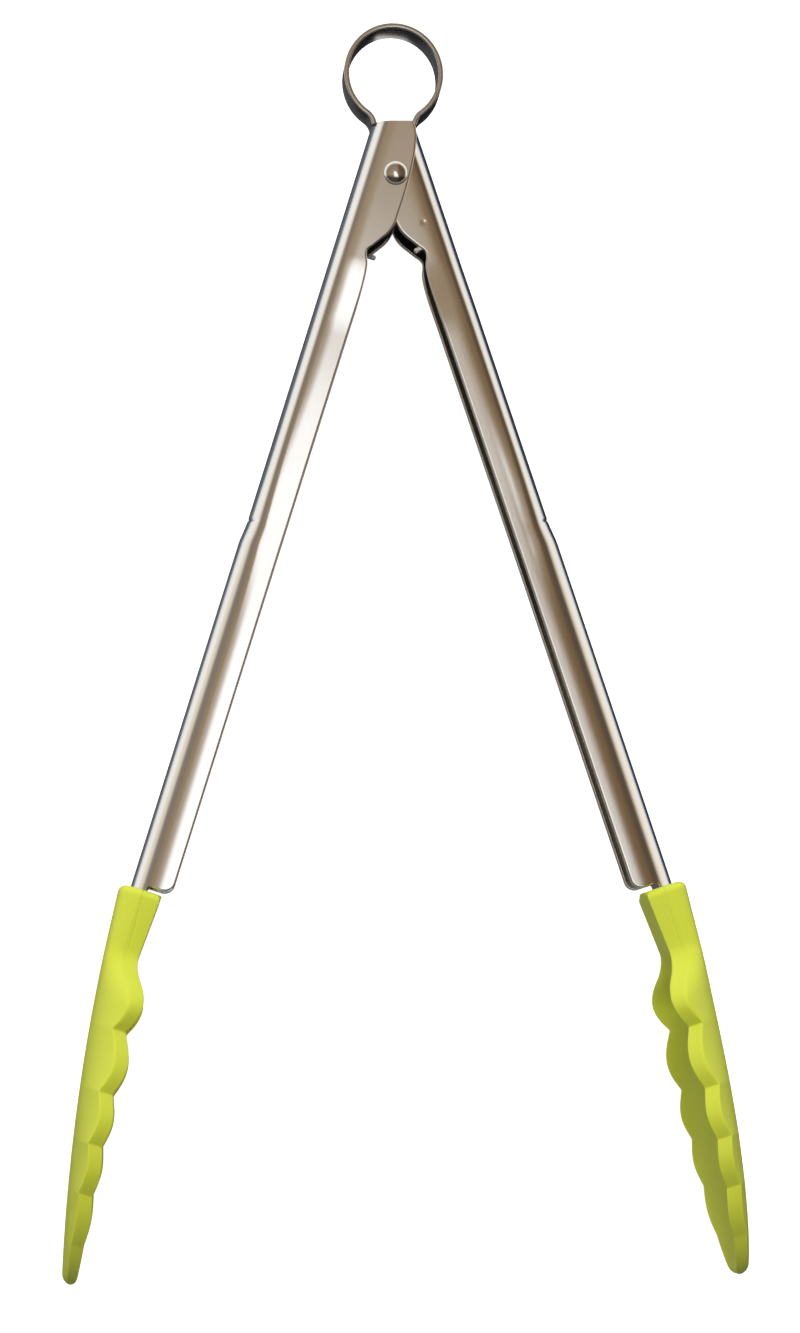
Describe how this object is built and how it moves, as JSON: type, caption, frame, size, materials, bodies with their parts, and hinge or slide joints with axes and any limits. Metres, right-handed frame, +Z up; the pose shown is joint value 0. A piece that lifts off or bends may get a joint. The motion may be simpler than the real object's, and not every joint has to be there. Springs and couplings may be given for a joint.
{
  "type": "spring loaded kitchen tongs",
  "caption": "Spring loaded kitchen tongs: riveted channel-section steel arms, a flat-strip spring ring above the rivet and scalloped silicone scoops that close on food.",
  "frame": {"origin": "on the surface the tongs lie on, under the middle of the open tongs", "axes": "+Z up along the rivet, +Y towards the spring ring, -Y towards the scoops, X across the open arms"},
  "size_m": [0.156, 0.2941, 0.04],
  "materials": {
    "arm_steel": "satin brushed stainless steel",
    "spring_steel": "satin stainless spring strip",
    "rivet_steel": "polished stainless steel",
    "silicone": "satin lime green silicone"
  },
  "bodies": {
    "ring": {"spring_ring": "spring_steel", "rivet_tube": "rivet_steel", "rivet_pin": "rivet_steel", "rivet_spacer": "rivet_steel"},
    "left": {"left_arm": "arm_steel", "left_scoop": "silicone"},
    "right": {"right_arm": "arm_steel", "right_scoop": "silicone"}
  },
  "joints": [
    {"name": "left_hinge", "type": "hinge", "parent": "ring", "child": "left", "pos_m": [0, 0.10978, 0.01999], "axis": [0, 0, 1], "range_deg": [0, 16], "stiffness_Nm_per_rad": 2.5},
    {"name": "right_hinge", "type": "hinge", "parent": "ring", "child": "right", "pos_m": [0, 0.10978, 0.01999], "axis": [0, 0, 1], "range_deg": [-16, 0], "stiffness_Nm_per_rad": 2.5}
  ],
  "couplings": [
    {"joint": "right_hinge", "follows": "left_hinge", "ratio": -1}
  ]
}
